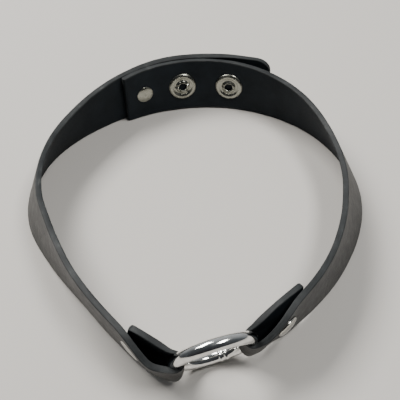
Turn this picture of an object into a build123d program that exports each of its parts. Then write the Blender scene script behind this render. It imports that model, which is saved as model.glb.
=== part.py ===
from build123d import *
from math import atan2, cos, degrees, radians, sin, sqrt, tan
import os

# A leather collar with a ring at the front. It stands on the lower edges of its straps and on the
# lowest point of the ring. +Z is up, the ring is at -Y, and the press stud is at the back, at +Y.
# Millimetres and degrees.

# Leather
strap_width = 20.0
leather = 1.9
layer_gap = 0.3            # between leathers that lie on each other

# The line that both straps follow, seen from above: from the left side of the ring, round the left side,
# the back and the right side, to the right side of the ring. The left strap's inner face and the right
# strap's outer face are on it.
line_start = (-10.03, -59.6)
line_heading = 138.5
bends = [(168.7, 21.4), (38.9, 59.5), (68.5, 30.6), (50.8, 129.7), (79.3, 30.7)]    # radius, turn
last_run = 19.4

# How far the straps lean: positive where the lower edge stands out
lean_mean = 4.3
lean_two_fold = -16.0
lean_one_fold = -3.8
lean_sideways = 2.6
lean_three_fold = 5.4
front_lift = 3.0           # the ring holds the front of the straps up
left_hold = (20.0, 45.0)   # beside the ring, a strap takes up the ring's lean between these distances
right_hold = (3.0, 14.0)

# Ring
ring_radius = 11.35        # to the middle of the wire
wire_radius = 1.85
ring_turn = 18.3           # the ring faces a little to the left
ring_tilt = 16.9           # its top leans forward
ring_middle = (5.37, -55.85, ring_radius * cos(radians(ring_tilt)) + wire_radius)
weld_arc = 14.0
weld_place = 61.0          # degrees round the ring, from its right side, downward
weld_radius = wire_radius + 0.12

# Fold loops round the ring
loop_half_height = 6.0
wire_clearance = 0.4

# Places along the line
left_start = 4.5
left_rivet_place = 8.5
left_tail_place = 12.5
right_tail_place = 298.0
right_rivet_place = 307.0
right_end = 311.0
strap_end_place = 132.0    # the right strap's free end, under the left strap
tail_rivet_place = 140.0
spare_stud_place = 155.5
tab_hinge_place = 161.0
stud_place = 174.0
tab_end_place = 187.5
tab_corner = 5.0

# Room between the two straps where they overlap
stud_gap = 2.2
tab_end_gap = 4.4
gap_rise_end = 151.0
tab_lift_start = 176.0

# Press stud
cap_radius = 6.2
cap_height = 1.9
post_radius = 1.7
socket_radius = 5.4
socket_mouth = 3.0
socket_depth = 1.3
socket_floor = 0.15
stud_flange_radius = 4.3
stud_flange = 0.5
stud_neck_radius = 1.55
stud_head_radius = 2.1
stud_height = 2.0
stud_neck_top = 1.45
stud_shoulder = 1.55
stud_head_top = 1.75
stud_bore = 1.05
eyelet_radius = 5.3
eyelet_height = 0.8
eyelet_hole = 1.4
barrel_radius = 1.5
spring_radius = 2.15
spring_wire = 0.25
spring_height = 1.2        # above the right strap's outer face
spring_opening = 50.0

# Rivets
rivet_cap_radius = 3.6
rivet_cap_height = 1.3
rivet_post_radius = 1.3
rivet_inner_face = -leather - layer_gap - 0.05
tail_rivet_radius = 3.2
tail_rivet_height = 0.7


def smooth(value, low, high):
    """Rises from 0 at low to 1 at high."""
    t = min(max((value - low) / (high - low), 0.0), 1.0)
    return t * t * (3 - 2 * t)


with BuildLine() as guide:
    point = Vector(*line_start)
    heading = Vector(cos(radians(line_heading)), sin(radians(line_heading)))
    for radius, turn in bends:
        bend = JernArc(point, heading, radius, -turn)
        point = bend @ 1
        heading = bend % 1
    Line(point, point + heading * last_run)
guide_wire = guide.wire()
guide_length = guide_wire.length

ring_across = Vector(cos(radians(ring_turn)), sin(radians(ring_turn)), 0)
ring_forward = Vector(sin(radians(ring_turn)), -cos(radians(ring_turn)), 0)
ring_up = Vector(0, 0, cos(radians(ring_tilt))) + ring_forward * sin(radians(ring_tilt))
ring_frame = Plane(ring_middle, x_dir=ring_across, z_dir=ring_up)      # Y towards the neck


def lean_at(turn_round):
    """Lean of the strap in degrees; turn_round is 0 at the front and 90 at the right side."""
    a = radians(turn_round)
    return (lean_mean + lean_two_fold * cos(2 * a) + lean_one_fold * cos(a)
            + lean_sideways * sin(a) + lean_three_fold * cos(3 * a))


def strap_plane(place, outward=0.0):
    """Plane across the strap at a place along the line: X outward through the leather, Y up the strap."""
    spot = guide_wire @ (place / guide_length)
    along = guide_wire % (place / guide_length)
    side = Vector(-along.Y, along.X)
    turn_round = degrees(atan2(spot.X, -spot.Y))
    lean = radians(lean_at(turn_round))
    near_ring = max(1 - smooth(place, *left_hold), 1 - smooth(guide_length - place, *right_hold))
    up = (Vector(0, 0, 1) - side * tan(lean)).normalized() * (1 - near_ring) + ring_up * near_ring
    up = up.normalized()
    across = (side - up * side.dot(up)).normalized()
    lift = front_lift * max(cos(radians(turn_round)), 0) ** 2
    height = lift + 0.5 * strap_width * up.Z + 0.5 * leather * abs(across.Z)
    middle = spot + side * (outward / across.dot(side)) + Vector(0, 0, height)
    return Plane(middle, x_dir=across, z_dir=across.cross(up))


def gap_at(place):
    """Room between the right strap's outer face and the left strap's inner face."""
    lifted = stud_gap * smooth(place, strap_end_place - 8, gap_rise_end)
    tab_lift = max(place - tab_lift_start, 0) / (tab_end_place - tab_lift_start)
    return max(lifted + (tab_end_gap - stud_gap) * tab_lift ** 1.5, 0.0)


def places(start, end, step=7.0):
    count = max(round((end - start) / step), 2)
    return [start + (end - start) * i / count for i in range(count + 1)]


def fastener_plane(place, outward):
    """Plane on the strap for a fastener, its Z pointing outward through the leather."""
    across = strap_plane(place, outward)
    return Plane(across.origin, x_dir=across.z_dir, z_dir=across.x_dir)


# ---------------------------------------------------------------- straps

# Fastener planes: the studs, the press stud and the tail rivet start at the right strap's outer face,
# the fold rivets at the face where the strap's two layers meet.
stud_plane = fastener_plane(stud_place, 0)
spare_stud_plane = fastener_plane(spare_stud_place, 0)
tail_rivet_plane = fastener_plane(tail_rivet_place, 0)
left_rivet_plane = fastener_plane(left_rivet_place, 0)
right_rivet_plane = fastener_plane(right_rivet_place, -leather)


def strap(name, start, end, middle_offset, holes, end_corner=0.0):
    """Leather from one place to another, through level-edged sections; holes are (plane, radius)."""
    with BuildPart() as piece:
        for place in places(start, end):
            standing_off = gap_at(place) if middle_offset > 0 else 0
            with BuildSketch(strap_plane(place, standing_off + middle_offset)):
                Rectangle(leather, strap_width)
        loft()
        if end_corner:
            with BuildSketch(fastener_plane(end, gap_at(end) + middle_offset)):
                with Locations((-end_corner, 0)):
                    with GridLocations(0, strap_width - 2 * end_corner, 1, 2):
                        Rectangle(3 * end_corner, 3 * end_corner)
                    Rectangle(3 * end_corner, strap_width - 2 * end_corner, mode=Mode.SUBTRACT)
                    with Locations((-end_corner, 0)):
                        Rectangle(2 * end_corner, 2 * strap_width, mode=Mode.SUBTRACT)
                    with GridLocations(0, strap_width - 2 * end_corner, 1, 2):
                        Circle(end_corner, mode=Mode.SUBTRACT)
            extrude(amount=2 * leather, both=True, mode=Mode.SUBTRACT)
        for plane, radius in holes:
            with BuildSketch(plane):
                Circle(radius)
            extrude(amount=2 * leather, both=True, mode=Mode.SUBTRACT)
    piece.part.label = name
    return piece.part


left_strap = strap("left_strap", left_start, tab_hinge_place - 0.5 * layer_gap, 0.5 * leather,
                   [(left_rivet_plane, rivet_post_radius)])
left_tab = strap("left_strap_tab", tab_hinge_place + 0.5 * layer_gap, tab_end_place, 0.5 * leather,
                 [(stud_plane.offset(stud_gap), post_radius)], tab_corner)
right_strap = strap("right_strap", strap_end_place, right_end, -0.5 * leather,
                    [(stud_plane, barrel_radius), (spare_stud_plane, barrel_radius),
                     (tail_rivet_plane, rivet_post_radius), (right_rivet_plane, rivet_post_radius)])


# ---------------------------------------------------------------- fold loops

def local(place, outward, height):
    """Where the strap passes a height of the ring's frame, seen along the ring's height."""
    plane = strap_plane(place, outward)
    middle = ring_frame.to_local_coords(plane.origin)
    up = ring_frame.to_local_coords(plane.origin + plane.y_dir) - middle
    spot = middle + up * ((height - middle.Z) / up.Z)
    return Vector(spot.X, spot.Y)


def tangent_point(start, middle, radius, turn):
    """Where a line from start touches the circle; turn +1 or -1 picks the side."""
    apart = middle - start
    reach = apart.length
    angle = radians(turn * degrees(atan2(radius, sqrt(reach * reach - radius * radius))))
    run = sqrt(reach * reach - radius * radius)
    way = Vector(apart.X * cos(angle) - apart.Y * sin(angle), apart.X * sin(angle) + apart.Y * cos(angle))
    return start + way.normalized() * run


def loop_outline(side, height, front_face, front_back, tail_bend, tail_end, tail_face_end, tail_face_bend):
    """The fold, cut level: one leg from the strap, round the wire and back to the tail."""
    reach = sqrt(ring_radius ** 2 - height ** 2)
    wire = Vector(side * reach, 0)
    inside = wire_radius * ring_radius / reach + wire_clearance
    outside = inside + leather
    bight = Vector(wire.X - side * outside, 0)
    inner_bight = Vector(wire.X - side * inside, 0)
    front_out = tangent_point(front_face, wire, outside, side)
    back_out = tangent_point(tail_face_bend, wire, outside, -side)
    front_in = tangent_point(front_back, wire, inside, side)
    back_in = tangent_point(tail_bend, wire, inside, -side)
    Line(front_face, front_out)
    ThreePointArc(front_out, bight, back_out)
    Polyline(back_out, tail_face_bend, tail_face_end, tail_end, tail_bend, back_in)
    ThreePointArc(back_in, inner_bight, front_in)
    Polyline(front_in, front_back, front_face)


def loop_corners(side, height):
    """Corners of the fold's two legs where they meet the strap, at a height of the ring's frame."""
    if side < 0:
        start, bend, tail, out, inner = left_start - layer_gap, left_start, left_tail_place, leather, 0.0
    else:
        start, bend, tail, out, inner = right_end + layer_gap, right_end, right_tail_place, 0.0, -leather
    tail_out = inner - layer_gap
    tail_in = tail_out - leather
    corners = [(start, out), (start, inner), (bend, tail_out), (tail, tail_out), (tail, tail_in), (bend, tail_in)]
    return [local(place, outward, height) for place, outward in corners]


def fold_loop(name, side, rivet_plane):
    with BuildPart() as loop:
        for step in range(-2, 3):
            height = loop_half_height * step / 2
            with BuildSketch(ring_frame.offset(height)):
                with BuildLine():
                    loop_outline(side, height, *loop_corners(side, height))
                make_face()
        loft()
        with BuildSketch(rivet_plane.offset(0.5)):
            Circle(rivet_post_radius)
        extrude(amount=-2 * leather, mode=Mode.SUBTRACT)
        with BuildSketch(rivet_plane.offset(rivet_inner_face)):
            Circle(rivet_cap_radius + 0.1)
        extrude(amount=-2 * leather, mode=Mode.SUBTRACT)
    loop.part.label = name
    return loop.part


left_loop = fold_loop("left_loop", -1, left_rivet_plane)
right_loop = fold_loop("right_loop", 1, right_rivet_plane)


# ---------------------------------------------------------------- ring

with BuildPart() as o_ring:
    with BuildSketch(ring_frame):
        with Locations((ring_radius, 0)):
            Circle(wire_radius)
    revolve(axis=Axis(ring_frame.origin, ring_frame.y_dir))
    # the weld: a slightly thicker sleeve of metal, low on the right
    with BuildSketch(ring_frame.rotated((0, weld_place, 0))):
        with Locations((ring_radius, 0)):
            Circle(weld_radius)
    revolve(axis=Axis(ring_frame.origin, ring_frame.y_dir), revolution_arc=weld_arc)
o_ring.part.label = "o_ring"


# ---------------------------------------------------------------- turned pieces

def half_plane(plane):
    """Plane for a turned piece's half section: X is the radius and Y the height along the plane's Z."""
    return Plane(plane.origin, x_dir=plane.x_dir, z_dir=-plane.y_dir)


def cap(name, plane, base, radius, height, post=0.0, post_end=0.0):
    """A low dome whose rim is at the base, with a post back through the leather."""
    with BuildPart() as piece:
        with BuildSketch(half_plane(plane)):
            with BuildLine():
                TangentArc((0, base + height), (radius, base), tangent=(1, 0))
                Line((radius, base), (post, base))
                if post:
                    Polyline((post, base), (post, post_end), (0, post_end))
                Line((0, post_end if post else base), (0, base + height))
            make_face()
        revolve(axis=Axis(plane.origin, plane.z_dir))
    piece.part.label = name
    return piece.part


def turned(name, plane, *corners):
    with BuildPart() as piece:
        with BuildSketch(half_plane(plane)):
            with BuildLine():
                Polyline(*corners, close=True)
            make_face()
        revolve(axis=Axis(plane.origin, plane.z_dir))
    piece.part.label = name
    return piece.part


def fold_rivet(name, plane):
    """Rivet through the strap and its tail: the outer cap with its post, and the inner cap."""
    return [cap(name, plane, leather, rivet_cap_radius, rivet_cap_height, rivet_post_radius, rivet_inner_face),
            cap(name + "_inner_cap", plane, rivet_inner_face, rivet_cap_radius, -rivet_cap_height)]


def stud_and_eyelet(name, plane):
    """The stud on the strap's outer face, and the eyelet whose barrel holds it from the inner face."""
    inner = -leather
    stud = turned(name, plane, (stud_bore, 0), (stud_flange_radius, 0), (stud_flange_radius, stud_flange),
                  (stud_neck_radius, stud_flange), (stud_neck_radius, stud_neck_top),
                  (stud_head_radius, stud_shoulder), (stud_head_radius, stud_head_top),
                  (stud_head_radius - 0.4, stud_height), (stud_bore, stud_height))
    eyelet = turned(name + "_eyelet", plane, (eyelet_hole, inner - 0.45), (eyelet_hole + 0.5, inner - eyelet_height),
                    (eyelet_radius - 1.2, inner - 0.6), (eyelet_radius, inner - 0.15), (eyelet_radius, inner),
                    (barrel_radius, inner), (barrel_radius, 0), (stud_bore, 0), (stud_bore, inner - 0.2))
    return [stud, eyelet]


pieces = [left_strap, left_tab, right_strap, left_loop, right_loop, o_ring.part]
pieces += fold_rivet("left_fold_rivet", left_rivet_plane)
pieces += fold_rivet("right_fold_rivet", right_rivet_plane)
pieces += stud_and_eyelet("stud", stud_plane)
pieces += stud_and_eyelet("spare_stud", spare_stud_plane)
pieces.append(cap("tail_rivet", tail_rivet_plane, -leather, tail_rivet_radius, -tail_rivet_height,
                  rivet_post_radius, 0))
pieces.append(cap("tail_rivet_cap", tail_rivet_plane, 0, tail_rivet_radius, tail_rivet_height))


# ---------------------------------------------------------------- press stud

pieces.append(cap("snap_cap", stud_plane, stud_gap + leather, cap_radius, cap_height, post_radius, stud_gap))

socket_lip = stud_gap - socket_depth
pieces.append(turned("snap_socket", stud_plane, (socket_mouth, socket_lip), (socket_radius - 0.5, socket_lip),
                     (socket_radius, socket_lip + 0.5), (socket_radius, stud_gap), (0, stud_gap),
                     (0, stud_gap - socket_floor), (socket_mouth, stud_gap - socket_floor)))

# The spring is an open ring of wire round the stud's neck, inside the socket.
with BuildPart() as snap_spring:
    with BuildSketch(half_plane(stud_plane)):
        with Locations((spring_radius, spring_height)):
            Circle(spring_wire)
    revolve(axis=Axis(stud_plane.origin, stud_plane.z_dir), revolution_arc=360 - spring_opening)
snap_spring.part.label = "snap_spring"
pieces.append(snap_spring.part)

os.makedirs("parts", exist_ok=True)
for piece in pieces:
    export_step(piece, f"parts/{piece.label}.step")
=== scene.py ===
from math import atan2, cos, exp, pi, radians, sin, sqrt, tan

import bpy
from mathutils import Matrix, Vector, noise


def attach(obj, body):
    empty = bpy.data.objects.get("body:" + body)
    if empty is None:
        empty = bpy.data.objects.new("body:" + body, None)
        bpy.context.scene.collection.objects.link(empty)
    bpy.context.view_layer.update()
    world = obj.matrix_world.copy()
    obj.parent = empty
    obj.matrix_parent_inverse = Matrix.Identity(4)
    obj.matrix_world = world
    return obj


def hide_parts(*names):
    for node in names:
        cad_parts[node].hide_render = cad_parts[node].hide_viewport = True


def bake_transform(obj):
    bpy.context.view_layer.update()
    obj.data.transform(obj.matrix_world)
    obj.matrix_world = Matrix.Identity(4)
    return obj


# A black leather collar with a ring at the front and a press stud at the back, in metres, in the frame of
# the CAD model. The straps and their folds are modelled here; the metal pieces are either CAD nodes with
# a better material or turned and swept pieces that stand for them.

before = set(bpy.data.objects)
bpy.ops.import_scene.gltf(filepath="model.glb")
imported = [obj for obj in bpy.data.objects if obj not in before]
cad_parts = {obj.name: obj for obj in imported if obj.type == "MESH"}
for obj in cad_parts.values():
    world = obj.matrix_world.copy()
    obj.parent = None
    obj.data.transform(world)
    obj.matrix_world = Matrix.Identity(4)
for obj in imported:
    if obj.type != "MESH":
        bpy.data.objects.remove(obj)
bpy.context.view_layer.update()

# ---------------------------------------------------------------- dimensions, as in the CAD model

STRAP_WIDTH = 0.0200
LEATHER = 0.0019

# The line that both straps follow, seen from above, from the ring's left side round to its right side
LINE_START = Vector((-0.01003, -0.05960))
LINE_HEADING = radians(138.5)
BENDS = [(0.1687, 21.4), (0.0389, 59.5), (0.0685, 30.6), (0.0508, 129.7), (0.0793, 30.7)]   # radius, turn
LAST_RUN = 0.0194
LINE_LENGTH = sum(radius * radians(turn) for radius, turn in BENDS) + LAST_RUN

RING_RADIUS = 0.01135
WIRE_RADIUS = 0.00185
RING_TURN = radians(18.3)
RING_TILT = radians(16.9)
RING_MIDDLE = Vector((0.00537, -0.05585, RING_RADIUS * cos(RING_TILT) + WIRE_RADIUS))

# Places along the line
LEFT_TAIL = 0.0125
LEFT_RIVET = 0.0085
LEFT_SPLIT = 0.0300         # where the fold's piece and the strap's piece meet
RIGHT_SPLIT = 0.2860
RIGHT_TAIL = 0.2980
RIGHT_RIVET = 0.3070
STRAP_END = 0.1320
TAIL_RIVET = 0.1400
SPARE_STUD = 0.1555
TAB_HINGE = 0.1610
STUD = 0.1740
TAB_END = 0.1875
TAB_CORNER = 0.0050
STUD_GAP = 0.0022
LAYER_ROOM = 0.0001         # least room between two layers of leather
TAB_END_GAP = 0.0044
GAP_START = STRAP_END - 0.008       # the outer strap begins to rise over the inner one
GAP_FULL = 0.1510
TAB_RISE = 0.1760                   # the tab begins to stand off further
CUPPING_FADE = (0.1600, 0.1820)

# How far from the line's two ends the straps lean as the ring does, and where they lean freely
LEFT_HOLD = (0.0200, 0.0450)
RIGHT_HOLD = (0.0030, 0.0140)
FRONT_LIFT = 0.0030                 # the straps' height over the floor at the front

STATION = 0.0008                    # between a leather ribbon's stations


def smooth(value, low, high):
    """Rises from 0 at low to 1 at high."""
    t = min(max((value - low) / (high - low), 0.0), 1.0)
    return t * t * (3 - 2 * t)


def mix(a, b, share):
    return a + (b - a) * share


def waver(place, scale, seed):
    """A slow wandering between about -1 and 1 along a place, the same every run."""
    return noise.noise(Vector((place / scale, seed * 7.31, seed * 1.77)))


# ---------------------------------------------------------------- the straps' line

def line_at(place):
    """The spot on the line and the direction of travel there, seen from above."""
    spot = LINE_START.copy()
    heading = LINE_HEADING
    left = place
    for radius, turn in BENDS:
        run = min(left, radius * radians(turn))
        centre = spot + radius * Vector((sin(heading), -cos(heading)))
        heading -= run / radius
        spot = centre - radius * Vector((sin(heading), -cos(heading)))
        left -= run
        if left <= 0:
            break
    return spot + Vector((cos(heading), sin(heading))) * max(left, 0.0), heading


ring_across = Vector((cos(RING_TURN), sin(RING_TURN), 0))
ring_forward = Vector((sin(RING_TURN), -cos(RING_TURN), 0))
ring_up = Vector((0, 0, cos(RING_TILT))) + ring_forward * sin(RING_TILT)
ring_back = ring_up.cross(ring_across)
ring_matrix = Matrix((ring_across, ring_back, ring_up)).transposed().to_4x4()
ring_matrix.translation = RING_MIDDLE
ring_inverse = ring_matrix.inverted()


def lean_at(turn_round):
    """Lean of the strap; turn_round is 0 at the front and a quarter turn at the right side."""
    return radians(4.3 - 16.0 * cos(2 * turn_round) - 3.8 * cos(turn_round)
                   + 2.6 * sin(turn_round) + 5.4 * cos(3 * turn_round))


def strap_axes(place):
    """Middle of the strap on its line, with the directions sideways, through the leather and up the strap."""
    spot, heading = line_at(place)
    side = Vector((-sin(heading), cos(heading), 0))
    turn_round = atan2(spot.x, -spot.y)
    near_left = 1 - smooth(place, *LEFT_HOLD)
    near_right = 1 - smooth(LINE_LENGTH - place, *RIGHT_HOLD)
    near_ring = max(near_left, near_right)
    free_up = (Vector((0, 0, 1)) - side * tan(lean_at(turn_round))).normalized()
    up = free_up * (1 - near_ring) + ring_up * near_ring
    up.normalize()
    across = (side - up * side.dot(up)).normalized()
    lift = FRONT_LIFT * max(cos(turn_round), 0) ** 2
    height = lift + 0.5 * STRAP_WIDTH * up.z + 0.5 * LEATHER * abs(across.z)
    return Vector((spot.x, spot.y, height)), side, across, up


def strap_point(place, outward, high):
    """A point outward through the leather from the line, and high up the strap from its middle."""
    middle, side, across, up = strap_axes(place)
    return middle + side * (outward / across.dot(side)) + up * high


def gap_at(place):
    """Room between the straps, at their middle."""
    lifted = STUD_GAP * smooth(place, GAP_START, GAP_FULL)
    tab_lift = max(place - TAB_RISE, 0) / (TAB_END - TAB_RISE)
    return lifted + (TAB_END_GAP - STUD_GAP) * tab_lift ** 1.5


def cupping_at(place):
    """How much nearer the left strap's edges are to the right strap than its middle is."""
    return max(gap_at(place) - LAYER_ROOM, 0) * (1 - smooth(place, *CUPPING_FADE))


# ---------------------------------------------------------------- leather ribbons

FACE_STEPS = 14
EDGE_STEPS = 10
EDGE_ROUND = 0.0005
EDGE_SQUARENESS = 0.42      # 1 is a half round edge, 0 a square one
END_THINNEST = 0.45         # share of the thickness at the very end of a rounded-over end
NUDGE = 0.0003              # across the leather, to find which way its surface faces
OUTER, EDGE, INNER = 0, 1, 2


def power(value, exponent):
    return abs(value) ** exponent * (1 if value > 0 else -1)


def ribbon_section():
    """The leather's cross-section, once round, as (distance from the middle, depth, zone)."""
    flat, half = 0.5 * STRAP_WIDTH - EDGE_ROUND, 0.5 * LEATHER
    points = []
    for face, zone in ((1, OUTER), (-1, INNER)):
        for step in range(FACE_STEPS):
            points.append((face * flat * (1 - 2 * step / FACE_STEPS), face * half, zone))
        for step in range(EDGE_STEPS):
            angle = pi * step / EDGE_STEPS
            wide = flat + EDGE_ROUND * power(sin(angle), EDGE_SQUARENESS)
            points.append((-face * wide, face * half * power(cos(angle), EDGE_SQUARENESS), EDGE))
    return points


SECTION = ribbon_section()


def distances(points):
    """How far along a line of points each one is."""
    result = [0.0]
    for a, b in zip(points, points[1:]):
        result.append(result[-1] + (b - a).length)
    return result


SECTION_LOOP = distances([Vector((wide, deep)) for wide, deep, _ in SECTION + SECTION[:1]])


def add_piece(name, vertices, faces, zones, uvs, materials):
    """A new mesh piece; uvs are one for each corner of each face."""
    mesh = bpy.data.meshes.new(name)
    mesh.from_pydata(vertices, [], faces)
    for material in materials:
        mesh.materials.append(material)
    mesh.polygons.foreach_set("material_index", zones)
    mesh.polygons.foreach_set("use_smooth", [len(face) == 4 for face in faces])
    layer = mesh.uv_layers.new(name="UVMap")
    layer.data.foreach_set("uv", [value for uv in uvs for value in uv])
    mesh.update()
    piece = bpy.data.objects.new(name, mesh)
    bpy.context.scene.collection.objects.link(piece)
    return piece


def ribbon(name, spine, lengths, materials, width_at=None, real_ends=(False, False), thickness_at=None):
    """A closed strip of leather. spine(i, wide) is a point of its middle surface, lengths are the stations'
    places along it, width_at(i) and thickness_at(i) are shares of the full width and thickness, and a real
    end is rounded over."""
    count, last = len(SECTION), len(lengths) - 1
    share = [width_at(i) if width_at else 1.0 for i in range(last + 1)]
    grid = [[spine(i, wide * share[i]) for wide, _, _ in SECTION] for i in range(last + 1)]
    vertices = []
    for i in range(last + 1):
        thin = thickness_at(i) if thickness_at else 1.0
        for real, end in zip(real_ends, (0, last)):
            if real:
                from_end = min(abs(lengths[i] - lengths[end]) / EDGE_ROUND, 1.0)
                thin = min(thin, mix(END_THINNEST, 1.0, sqrt(from_end)))
        for j, (wide, deep, _) in enumerate(SECTION):
            along = grid[min(i + 1, last)][j] - grid[max(i - 1, 0)][j]
            up = spine(i, wide * share[i] + NUDGE) - spine(i, wide * share[i] - NUDGE)
            vertices.append(grid[i][j] + up.cross(along).normalized() * deep * thin)
    faces, zones, uvs = [], [], []
    for i in range(last):
        for j in range(count):
            k = (j + 1) % count
            faces.append((i * count + j, (i + 1) * count + j, (i + 1) * count + k, i * count + k))
            zones.append(SECTION[j][2])
            uvs += [(lengths[i], SECTION_LOOP[j]), (lengths[i + 1], SECTION_LOOP[j]),
                    (lengths[i + 1], SECTION_LOOP[j + 1]), (lengths[i], SECTION_LOOP[j + 1])]
    for row, order in ((0, 1), (last, -1)):
        faces.append([row * count + j for j in range(count)][::order])
        zones.append(EDGE)
        uvs += [(lengths[row] + deep, wide) for wide, deep, _ in SECTION[::order]]
    piece = add_piece(name, vertices, faces, zones, uvs, materials)
    piece.data.set_sharp_from_angle(angle=radians(75))
    return piece


def steps_between(start, end, step):
    count = max(round(abs(end - start) / step), 2)
    return [mix(start, end, i / count) for i in range(count + 1)]


# ---------------------------------------------------------------- materials

def new_material(name, **settings):
    """A material with a Principled shader and its own values set on the shader's sockets."""
    material = bpy.data.materials.new(name)
    material.use_nodes = True
    shader = material.node_tree.nodes["Principled BSDF"]
    for socket, value in settings.items():
        shader.inputs[socket.replace("_", " ")].default_value = value
    return material


class Nodes:
    """Short ways to add texture nodes to a material."""

    def __init__(self, material, coordinate="UV"):
        self.tree = material.node_tree
        self.shader = self.tree.nodes["Principled BSDF"]
        self.place = self.add("ShaderNodeTexCoord").outputs[coordinate]

    def add(self, kind, **settings):
        node = self.tree.nodes.new(kind)
        for key, value in settings.items():
            setattr(node, key, value)
        return node

    def link(self, source, target):
        self.tree.links.new(source, target)

    def stretched(self, scale):
        node = self.add("ShaderNodeMapping")
        node.inputs["Scale"].default_value = scale
        self.link(self.place, node.inputs["Vector"])
        return node.outputs["Vector"]

    def noise(self, scale, detail=3.0, roughness=0.55, stretch=(1, 1, 1)):
        node = self.add("ShaderNodeTexNoise")
        node.inputs["Scale"].default_value = scale
        node.inputs["Detail"].default_value = detail
        node.inputs["Roughness"].default_value = roughness
        self.link(self.stretched(stretch), node.inputs["Vector"])
        return node.outputs["Fac"]

    def cells(self, scale):
        node = self.add("ShaderNodeTexVoronoi")
        node.inputs["Scale"].default_value = scale
        self.link(self.place, node.inputs["Vector"])
        return node.outputs["Distance"]

    def remap(self, value, low, high, to_low, to_high):
        node = self.add("ShaderNodeMapRange")
        for socket, number in zip(("From Min", "From Max", "To Min", "To Max"), (low, high, to_low, to_high)):
            node.inputs[socket].default_value = number
        self.link(value, node.inputs["Value"])
        return node.outputs["Result"]

    def math(self, operation, first, second):
        node = self.add("ShaderNodeMath", operation=operation)
        for socket, value in zip(node.inputs, (first, second)):
            if isinstance(value, (int, float)):
                socket.default_value = value
            else:
                self.link(value, socket)
        return node.outputs["Value"]

    def colours(self, value, *stops):
        """A colour ramp through (position, (r, g, b)) stops."""
        node = self.add("ShaderNodeValToRGB")
        ramp = node.color_ramp
        while len(ramp.elements) < len(stops):
            ramp.elements.new(0.5)
        for element, (position, colour) in zip(ramp.elements, stops):
            element.position = position
            element.color = (*colour, 1)
        self.link(value, node.inputs["Fac"])
        return node.outputs["Color"]

    def bump(self, height, strength, distance, under=None):
        node = self.add("ShaderNodeBump")
        node.inputs["Strength"].default_value = strength
        node.inputs["Distance"].default_value = distance
        self.link(height, node.inputs["Height"])
        if under:
            self.link(under, node.inputs["Normal"])
        return node.outputs["Normal"]

    def wire(self, **sources):
        for socket, source in sources.items():
            self.link(source, self.shader.inputs[socket.replace("_", " ")])


def outer_leather():
    """Finished side: fine pebbled grain, matte, worn a little lighter here and there."""
    material = new_material("outer_leather", Specular_IOR_Level=0.34, Sheen_Weight=0.04)
    n = Nodes(material)
    patches = n.noise(70, 4, 0.6)
    pebbles = n.cells(1500)
    creases = n.noise(420, 5, 0.65, stretch=(1, 0.6, 1))
    colour = n.colours(patches, (0.3, (0.0135, 0.0135, 0.0130)), (0.7, (0.026, 0.0255, 0.0240)))
    rough = n.remap(creases, 0.3, 0.7, 0.46, 0.62)
    coarse = n.bump(creases, 0.35, 0.0003)
    n.wire(Base_Color=colour, Roughness=rough, Normal=n.bump(pebbles, 0.4, 0.00012, coarse))
    return material


def inner_leather():
    """Flesh side: blue-black, with a short flattened nap."""
    material = new_material("inner_leather", Specular_IOR_Level=0.22)
    n = Nodes(material)
    nap = n.noise(2600, 3, 0.7, stretch=(0.5, 1, 1))
    patches = n.noise(110, 4, 0.6)
    mixed = n.math("ADD", n.math("MULTIPLY", nap, 0.45), n.math("MULTIPLY", patches, 0.55))
    colour = n.colours(mixed, (0.35, (0.0036, 0.0058, 0.0082)), (0.65, (0.0105, 0.0155, 0.0205)))
    n.wire(Base_Color=colour, Roughness=n.remap(nap, 0.3, 0.7, 0.62, 0.85),
           Normal=n.bump(nap, 0.35, 0.00012, n.bump(patches, 0.3, 0.0003)))
    return material


def edge_leather():
    """Cut edge: dyed and rubbed, with fibres along it, and paler spots that are partly wear and partly
    painted highlight for light caught on the rounded edge.
    """
    material = new_material("edge_leather", Specular_IOR_Level=0.3)
    n = Nodes(material)
    fibres = n.noise(900, 5, 0.7, stretch=(0.25, 2.5, 1))
    wear_and_painted_highlight = n.noise(160, 4, 0.65)
    mixed = n.math("ADD", n.math("MULTIPLY", fibres, 0.5), n.math("MULTIPLY", wear_and_painted_highlight, 0.5))
    # The palest stop is partly worn leather and partly painted highlight, standing in for light caught on the
    # edge's rounding.
    colour = n.colours(mixed, (0.38, (0.0065, 0.0080, 0.0090)), (0.56, (0.021, 0.024, 0.025)),
                       (0.68, (0.075, 0.078, 0.076)))
    n.wire(Base_Color=colour, Roughness=n.remap(fibres, 0.3, 0.7, 0.45, 0.75),
           Normal=n.bump(fibres, 0.5, 0.0002))
    return material


def metal(name, colour, rough, waviness, tarnish):
    """Plated metal: a slightly wavy surface, fine scratches and a thin patchy film."""
    material = new_material(name, Metallic=1.0)
    n = Nodes(material, "Object")
    waves = n.noise(140, 2, 0.5)
    scratches = n.noise(2200, 4, 0.7, stretch=(1, 0.12, 0.3))
    film = n.noise(420, 5, 0.6)
    n.wire(Base_Color=n.colours(film, (0.3, tarnish), (0.55, colour)),
           Roughness=n.remap(film, 0.35, 0.75, rough, rough + 0.16),
           Normal=n.bump(scratches, 0.10, 0.00004, n.bump(waves, waviness, 0.0006)))
    return material


leathers = [outer_leather(), edge_leather(), inner_leather()]
ring_metal = metal("ring_metal", (0.80, 0.80, 0.78), 0.06, 0.22, (0.66, 0.65, 0.62))
rivet_metal = metal("rivet_metal", (0.60, 0.59, 0.55), 0.12, 0.10, (0.52, 0.51, 0.47))
snap_metal = metal("snap_metal", (0.33, 0.33, 0.285), 0.22, 0.15, (0.23, 0.23, 0.195))
spring_metal = metal("spring_metal", (0.62, 0.62, 0.62), 0.22, 0.05, (0.5, 0.5, 0.5))


# ---------------------------------------------------------------- straps

WANDER_FADE = 0.008
SLOW_WANDER = (0.00010, 0.0060)     # height and length of the cut edges' unevenness
QUICK_WANDER = (0.00005, 0.0016)
FACE_WANDER = (0.00012, 0.0120)     # and of the faces'


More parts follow.
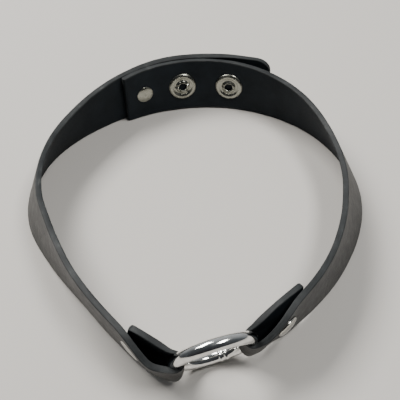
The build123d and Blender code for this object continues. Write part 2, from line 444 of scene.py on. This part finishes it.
def wander_share(place):
    """Fades the straps' unevenness out where they meet the folds."""
    after_left = smooth(place, LEFT_SPLIT, LEFT_SPLIT + WANDER_FADE)
    return after_left * (1 - smooth(place, RIGHT_SPLIT - WANDER_FADE, RIGHT_SPLIT))


def edge_wander(place, seed):
    """The hand-cut edge's small wandering."""
    slow, slow_length = SLOW_WANDER
    quick, quick_length = QUICK_WANDER
    return slow * waver(place, slow_length, seed) + quick * waver(place, quick_length, seed + 3)


def strap_spine(places, middle, lifted, seed):
    """The middle surface of a strap whose leather is centred middle outward from the line."""
    face, face_length = FACE_WANDER

    def spine(i, wide):
        place = places[i]
        share = 2 * wide / STRAP_WIDTH
        outward = middle
        if lifted:
            outward += gap_at(place) - cupping_at(place) * share ** 4
        uneven = wander_share(place)
        outward += face * uneven * noise.noise(Vector((place / face_length, share * 0.7, seed)))
        edge = uneven * edge_wander(place, seed + (1 if wide > 0 else 2)) * abs(share) ** 6
        return strap_point(place, outward, wide + edge)

    return spine


def corner_share(place, end, corner):
    """Share of the full width near a strap's end with round corners."""
    into = max(corner - abs(end - place), 0.0)
    return (0.5 * STRAP_WIDTH - corner + sqrt(max(corner ** 2 - into ** 2, 0.0))) / (0.5 * STRAP_WIDTH)


def end_spaced(start, end, step, corner):
    """Places from start to end that close up towards the end's round corners."""
    count = 14
    places = steps_between(start, end - corner, step)[:-1]
    return places + [end - corner + corner * sin(pi / 2 * k / count) for k in range(count + 1)]


left_places = end_spaced(LEFT_SPLIT, TAB_END, STATION, TAB_CORNER)
left_band = ribbon("left_band", strap_spine(left_places, 0.5 * LEATHER, True, 5.0), left_places, leathers,
                   lambda i: corner_share(left_places[i], TAB_END, TAB_CORNER), (False, True))
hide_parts("left_strap", "left_strap_tab")
strap_point(TAB_HINGE - 0.004, LEATHER, 0)
strap_point(TAB_HINGE + 0.006, LEATHER, 0)
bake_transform(left_band)

right_places = steps_between(STRAP_END, STRAP_END + EDGE_ROUND, EDGE_ROUND / 5)[:-1]
right_places += steps_between(STRAP_END + EDGE_ROUND, RIGHT_SPLIT, STATION)
right_band = ribbon("right_band", strap_spine(right_places, -0.5 * LEATHER, False, 9.0), right_places,
                    leathers, real_ends=(True, False))
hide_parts("right_strap")
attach(right_band, "root")


# ---------------------------------------------------------------- folds round the ring

WIRE_ROOM = 0.00012         # between the wire and the leather, before the fold's line is smoothed
SKIVED = 0.36               # share of the leather's thickness left in the ring
TUCK = 0.0012               # how far a fold's end reaches inside the strap that it meets
TUCKED = 0.985              # share of the thickness there
TUCK_SLOPE = 0.0010         # length over which it thins to that

# The leather's lower and upper edge, up the ring from its middle, where it is drawn together round the wire
BIGHT_EDGES = (-0.0040, 0.0030)
BACK_EDGES = (-0.0084, 0.0044)
RIVET_NARROWING = 0.94      # the tail's share of the full width at its rivet
TIP_NARROWING = 0.96        # and at its end, where the round corners take off more
TIP_FLARE = 0.0003          # how far the corners of the tail's end stand off
TAIL_CORNER = 0.0015
TAIL_NARROWEST = 0.86       # the least that the round corners leave of the width

# Distances from the line's end over which the front layer leans out, and over which it is drawn together
NOD_REACH = (0.0020, 0.0160)
GATHER_REACH = (-0.0050, 0.0130)
SKIVE_REACH = (0.0012, 0.0085)      # from the middle of the bight, to full thickness

WRAP_ANGLES = (-0.62 * pi, 0.55 * pi)       # from the front of the wire, through the ring, to the back
WRAP_STEPS = 16
LEG_STEPS = 8
TAIL_STEPS = 7
TIP_STEPS = 8
LOWER_WAY = (-0.0138, -0.0004)      # in the ring's frame: the tail's lower edge lies close behind the front
EASING_ROUNDS = 5

# flare is how far the tail's upper edge stands off, nod how far the front layer's upper edge leans out, and
# belly how far its lower edge bulges in front of the wire
left_fold = {"mirror": 1, "split": LEFT_SPLIT, "leg_start": 0.0004, "tail": LEFT_TAIL, "rivet": LEFT_RIVET,
             "middle": 0.5 * LEATHER, "tail_middle": -0.5 * LEATHER - LAYER_ROOM, "flare": 0.0013,
             "nod": 0.0012, "front_edges": (-0.0092, 0.0024), "belly": 0.0010}
right_fold = {"mirror": -1, "split": RIGHT_SPLIT, "leg_start": LINE_LENGTH - 0.0014, "tail": RIGHT_TAIL,
              "rivet": RIGHT_RIVET, "middle": -0.5 * LEATHER, "tail_middle": -1.5 * LEATHER - LAYER_ROOM,
              "flare": 0.0022, "nod": 0.0, "front_edges": (-0.0076, 0.0024), "belly": 0.0004}


def to_ring(fold, point):
    """A point in the ring's frame, mirrored so that the fold's side of the ring is at -X."""
    local = ring_inverse @ point
    local.x *= fold["mirror"]
    return local


def from_ring(fold, local):
    return ring_matrix @ Vector((local.x * fold["mirror"], local.y, local.z))


def height_between(edges, share):
    """The height of one of the leather's lines between its lower and upper edge; share runs from -1 to 1."""
    return mix(*edges, 0.5 * (share + 1))


def fold_line(fold, wide):
    """One line of the fold's middle surface: down the strap, round the wire and back along the tail."""
    share = 2 * wide / STRAP_WIDTH
    line = []
    for place in steps_between(fold["split"] + TUCK * fold["mirror"], fold["leg_start"], STATION):
        from_end = min(place, LINE_LENGTH - place)
        nod = fold["nod"] * (1 - smooth(from_end, *NOD_REACH)) * 0.5 * (share + 1)
        high = mix(height_between(fold["front_edges"], share), wide, smooth(from_end, *GATHER_REACH))
        line.append(to_ring(fold, strap_point(place, fold["middle"] + nod, high)))
    start = line[-1]
    flare = fold["flare"] * max(share, 0.0) ** 2
    tip_outward = fold["tail_middle"] - TIP_FLARE * share ** 2
    rivet = to_ring(fold, strap_point(fold["rivet"], fold["tail_middle"] - flare, RIVET_NARROWING * wide))
    tip = to_ring(fold, strap_point(fold["tail"], tip_outward, TIP_NARROWING * wide))

    middle_height = height_between(BIGHT_EDGES, share)
    reach = sqrt(RING_RADIUS ** 2 - middle_height ** 2)
    thin = 0.5 * LEATHER * SKIVED
    round_y = WIRE_RADIUS + WIRE_ROOM + 1.5 * thin
    round_x = WIRE_RADIUS * RING_RADIUS / reach + WIRE_ROOM + thin
    belly = fold["belly"] * smooth(-share, -0.8, 1)

    def on_wire(turn, height):
        angle = mix(*WRAP_ANGLES, turn)
        deep = round_y + belly * (1 - smooth(turn, 0.15, 0.5))
        return Vector((-reach + round_x * cos(angle), deep * sin(angle), height))

    wrap = []
    for step in range(WRAP_STEPS + 1):
        turn = step / WRAP_STEPS
        height = mix(height_between(fold["front_edges"], share), middle_height, smooth(turn, 0.08, 0.5))
        height += (height_between(BACK_EDGES, share) - middle_height) * smooth(turn, 0.55, 1)
        wrap.append(on_wire(turn, height))
    line += [start.lerp(wrap[0], step / LEG_STEPS) for step in range(1, LEG_STEPS)]
    line += wrap
    upper_way = wrap[-1].lerp(rivet, 0.5)
    lower_way = Vector((*LOWER_WAY, upper_way.z))
    way = upper_way.lerp(lower_way, smooth(-share, -0.4, 0.9))
    line += [wrap[-1].lerp(way, step / TAIL_STEPS) for step in range(1, TAIL_STEPS + 1)]
    line += [way.lerp(rivet, step / TAIL_STEPS) for step in range(1, TAIL_STEPS)]
    line += [rivet.lerp(tip, 1 - (1 - step / TIP_STEPS) ** 1.6) for step in range(TIP_STEPS + 1)]

    # Ease the kinks out; the first four points and the last three stay where they are
    for _ in range(EASING_ROUNDS):
        eased = [(a + b * 2 + c) / 4 for a, b, c in zip(line, line[1:], line[2:])]
        line[4:-3] = eased[3:-2]
    return [from_ring(fold, local) for local in line]


def make_fold(name, fold, node):
    """The fold as one ribbon that runs the way the strap's line does, in place of a CAD node."""
    left = fold["mirror"] > 0
    lines = {}

    def spine(i, wide):
        if wide not in lines:
            line = fold_line(fold, wide)
            lines[wide] = line[::-1] if left else line
        return lines[wide][i]

    spine(0, 0.0)       # fills in the line along the fold's middle
    lengths = distances(lines[0.0])
    shift = fold["split"] + TUCK * fold["mirror"] - (lengths[-1] if left else 0.0)
    lengths = [length + shift for length in lengths]
    end = lengths[0] if left else lengths[-1]
    bight = [(ring_inverse @ point).x * fold["mirror"] for point in lines[0.0]]
    deepest = lengths[bight.index(max(bight))]

    def tucked_in(i):
        inside = (lengths[i] - fold["split"]) * fold["mirror"]
        return mix(1.0, TUCKED, smooth(inside, -TUCK_SLOPE, 0.0))

    def width_at(i):
        return max(corner_share(lengths[i], end, TAIL_CORNER), TAIL_NARROWEST) * mix(1.0, tucked_in(i), 0.1)

    def thickness_at(i):
        return mix(SKIVED, 1.0, smooth(abs(lengths[i] - deepest), *SKIVE_REACH)) * tucked_in(i)

    piece = ribbon(name, spine, lengths, leathers, width_at, (left, not left), thickness_at)
    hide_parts(node)
    strap_point(fold["rivet"], 0, 0)
    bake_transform(piece)


make_fold("left_fold", left_fold, "left_loop")
make_fold("right_fold", right_fold, "right_loop")


# ---------------------------------------------------------------- metal pieces

def sweep(name, rows, material):
    """Mesh through rows of points; each row is closed, and the last row joins the first."""
    count, size = len(rows), len(rows[0])
    vertices = [point for row in rows for point in row]
    faces = []
    for i in range(count):
        for j in range(size):
            a, b = i * size, ((i + 1) % count) * size
            faces.append((a + j, a + (j + 1) % size, b + (j + 1) % size, b + j))
    mesh = bpy.data.meshes.new(name)
    mesh.from_pydata(vertices, [], faces)
    mesh.materials.append(material)
    mesh.polygons.foreach_set("use_smooth", [True] * len(faces))
    mesh.update()
    piece = bpy.data.objects.new(name, mesh)
    bpy.context.scene.collection.objects.link(piece)
    return piece


WELD_START = 61.0           # degrees round the ring from its right side, downward
WELD_END = 75.0
WELD_LIPS = (62.5, 72.0)
LIP_HEIGHT = 0.00022
LIP_WIDTH = 1.6             # degrees
SLEEVE_HEIGHT = 0.00006     # of the weld between its lips
WIRE_WANDER = 0.00002
RING_STEPS = 360
WIRE_STEPS = 32


def make_ring():
    """The wire ring: a tube whose thickness wavers a little, with the weld's two raised lips."""
    rows = []
    for step in range(RING_STEPS):
        down = 2 * pi * step / RING_STEPS
        place = 360 * step / RING_STEPS
        lips = sum(LIP_HEIGHT * exp(-((place - lip) / LIP_WIDTH) ** 2) for lip in WELD_LIPS)
        in_weld = smooth(place, WELD_START - 2, WELD_START + 2)
        in_weld *= 1 - smooth(place, WELD_END - 2, WELD_END + 2)
        thick = WIRE_RADIUS + lips + SLEEVE_HEIGHT * in_weld
        thick += WIRE_WANDER * noise.noise(Vector((3 * cos(down), 3 * sin(down), 4.0)))
        row = []
        for k in range(WIRE_STEPS):
            angle = 2 * pi * k / WIRE_STEPS
            radius = RING_RADIUS + thick * cos(angle)
            row.append(ring_matrix @ Vector((radius * cos(down), thick * sin(angle), -radius * sin(down))))
        rows.append(row)
    return sweep("welded_ring", rows, ring_metal)


ring_piece = make_ring()
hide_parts("o_ring")
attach(ring_piece, "ring")


def rounded(corners, rounds=3):
    """A closed outline with its corners cut round."""
    points = [Vector(corner) for corner in corners]
    for _ in range(rounds):
        cut = []
        for a, b in zip(points, points[1:] + points[:1]):
            cut += [a.lerp(b, 0.22), a.lerp(b, 0.78)]
        points = cut
    return points


def fastener_frame(place, outward):
    """Matrix on a strap with Z outward through the leather."""
    _, _, across, up = strap_axes(place)
    matrix = Matrix((across.cross(up) * -1, up, across)).transposed().to_4x4()
    matrix.translation = strap_point(place, outward, 0)
    return matrix


def turned(name, frame_matrix, corners, material, body, node, steps=72, ripple=None):
    """A turned piece from the corners (radius, height) of its closed half section, which stays off the axis.
    ripple(radius, angle) is a change of height."""
    outline = rounded(corners)
    rows = []
    for step in range(steps):
        angle = 2 * pi * step / steps
        row = []
        for radius, height in outline:
            lifted = height + (ripple(radius, angle) if ripple else 0.0)
            row.append(frame_matrix @ Vector((radius * cos(angle), radius * sin(angle), lifted)))
        rows.append(row)
    piece = sweep(name, rows, material)
    piece.data.set_sharp_from_angle(angle=radians(50))
    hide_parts(node)
    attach(piece, body)


def dome(radius, height, rim):
    """Half section of a cap: a dome with a turned-under rim, its base at height 0."""
    tiny = 0.00002
    hollow = 0.0002
    return [(tiny, height), (0.45 * radius, 0.97 * height), (0.8 * radius, 0.74 * height),
            (radius, 0.30 * height + rim), (radius, 0.0), (radius - 0.0008, 0.0), (radius - 0.0010, hollow),
            (tiny, hollow)]


RIVET_RADIUS = 0.0036
RIVET_HEIGHT = 0.0013
RIVET_ROOM = 0.00035        # for the two layers and the room between them and the inner cap
TURNED_INWARD = Matrix.Rotation(pi, 4, "X")

turned("press_stud_cap", fastener_frame(STUD, STUD_GAP + LEATHER), dome(0.0062, 0.0019, 0.0002), snap_metal,
       "tab", "snap_cap")
for name, place, outer_face, proud in (("left_fold_rivet", LEFT_RIVET, LEATHER, 0.0007),
                                       ("right_fold_rivet", RIGHT_RIVET, 0.0, RIVET_HEIGHT)):
    turned(name + "_head", fastener_frame(place, outer_face), dome(RIVET_RADIUS, proud, 0.0002), rivet_metal,
           "root", name)
    inner = fastener_frame(place, outer_face - 2 * LEATHER - RIVET_ROOM) @ TURNED_INWARD
    turned(name + "_back", inner, dome(RIVET_RADIUS, RIVET_HEIGHT, 0.0002), rivet_metal,
           "root", name + "_inner_cap")
turned("tail_rivet_head", fastener_frame(TAIL_RIVET, -LEATHER) @ TURNED_INWARD,
       dome(0.0032, 0.0007, 0.0001), snap_metal, "root", "tail_rivet")


def eyelet(name, place, node, crimps, depth):
    """Pressed ring whose middle is rolled over in crimped petals."""
    corners = [(0.0014, 0.0004), (0.0014, 0.0007), (0.0017, 0.0010), (0.0022, 0.0008), (0.0027, 0.00035),
               (0.0033, 0.00045), (0.0040, 0.00080), (0.0048, 0.00065), (0.0053, 0.00020), (0.0053, -0.0001),
               (0.0045, -0.0001), (0.0015, -0.0001)]

    def crimped(radius, angle):
        near_middle = 1 - smooth(radius, 0.0022, 0.0034)
        return -depth * near_middle * max(cos(crimps * angle + 0.6), 0.0) ** 3

    turned(name, fastener_frame(place, -LEATHER) @ TURNED_INWARD, corners, snap_metal, "root",
           node, steps=120, ripple=crimped)


eyelet("stud_eyelet_ring", STUD, "stud_eyelet", 6, 0.00012)
eyelet("spare_stud_eyelet_ring", SPARE_STUD, "spare_stud_eyelet", 5, 0.00040)


def finish_cad_node(node, material):
    """A CAD piece that keeps its shape and gets a better material."""
    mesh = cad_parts[node].data
    mesh.materials.clear()
    mesh.materials.append(material)


for node in ("stud", "spare_stud", "tail_rivet_cap", "snap_socket"):
    finish_cad_node(node, snap_metal)
finish_cad_node("snap_spring", spring_metal)


# ---------------------------------------------------------------- floor, light and camera

def make_floor():
    """A plain tabletop that reaches far past the view."""
    mesh = bpy.data.meshes.new("floor")
    reach = 3.0
    corners = [(-reach, -reach, 0), (reach, -reach, 0), (reach, reach, 0), (-reach, reach, 0)]
    mesh.from_pydata(corners, [], [(0, 1, 2, 3)])
    material = new_material("floor", Base_Color=(0.54, 0.52, 0.49, 1), Roughness=0.9, Specular_IOR_Level=0.2)
    mesh.materials.append(material)
    floor = bpy.data.objects.new("floor", mesh)
    bpy.context.scene.collection.objects.link(floor)


def add_light(name, place, width, power_watts, colour):
    """A soft box that faces the object's middle."""
    light = bpy.data.lights.new(name, "AREA")
    light.shape = "RECTANGLE"
    light.size = width
    light.size_y = width * 0.6
    light.energy = power_watts
    light.color = colour
    lamp = bpy.data.objects.new(name, light)
    lamp.location = place
    lamp.rotation_euler = (-Vector(place)).to_track_quat("-Z", "Y").to_euler()
    bpy.context.scene.collection.objects.link(lamp)


make_floor()
add_light("window", (-0.45, 0.35, 0.75), 0.55, 13.0, (1.0, 0.98, 0.95))
add_light("ceiling", (0.35, -0.05, 0.90), 0.40, 6.5, (1.0, 0.99, 0.97))


def make_studio():
    """Soft light from all round, darker towards the front, where a dark room shows in the chrome."""
    world = bpy.data.worlds.new("studio")
    world.use_nodes = True
    tree = world.node_tree
    place = tree.nodes.new("ShaderNodeTexCoord")
    split = tree.nodes.new("ShaderNodeSeparateXYZ")
    ramp = tree.nodes.new("ShaderNodeValToRGB")
    stops = [(0.0, (0.03, 0.03, 0.035, 1)), (0.5, (0.10, 0.11, 0.12, 1)), (1.0, (0.62, 0.64, 0.66, 1))]
    ramp.color_ramp.elements.new(0.5)
    for element, (position, colour) in zip(ramp.color_ramp.elements, stops):
        element.position = position
        element.color = colour
    shift = tree.nodes.new("ShaderNodeMapRange")
    shift.inputs["From Min"].default_value = -1.0
    tree.links.new(place.outputs["Generated"], split.inputs["Vector"])
    tree.links.new(split.outputs["Y"], shift.inputs["Value"])
    tree.links.new(shift.outputs["Result"], ramp.inputs["Fac"])
    tree.links.new(ramp.outputs["Color"], tree.nodes["Background"].inputs["Color"])
    tree.nodes["Background"].inputs["Strength"].default_value = 0.9
    bpy.context.scene.world = world


make_studio()

LOOKING_DOWN = 51.31        # degrees below the horizontal
camera_data = bpy.data.cameras.new("camera")
camera_data.sensor_width = 36
camera_data.lens = 60.4
camera_data.clip_start = 0.01
camera = bpy.data.objects.new("camera", camera_data)
camera.location = (0.00177, -0.1388, 0.1832)
camera.rotation_euler = (radians(90 - LOOKING_DOWN), 0, 0)
bpy.context.scene.collection.objects.link(camera)
bpy.context.scene.camera = camera
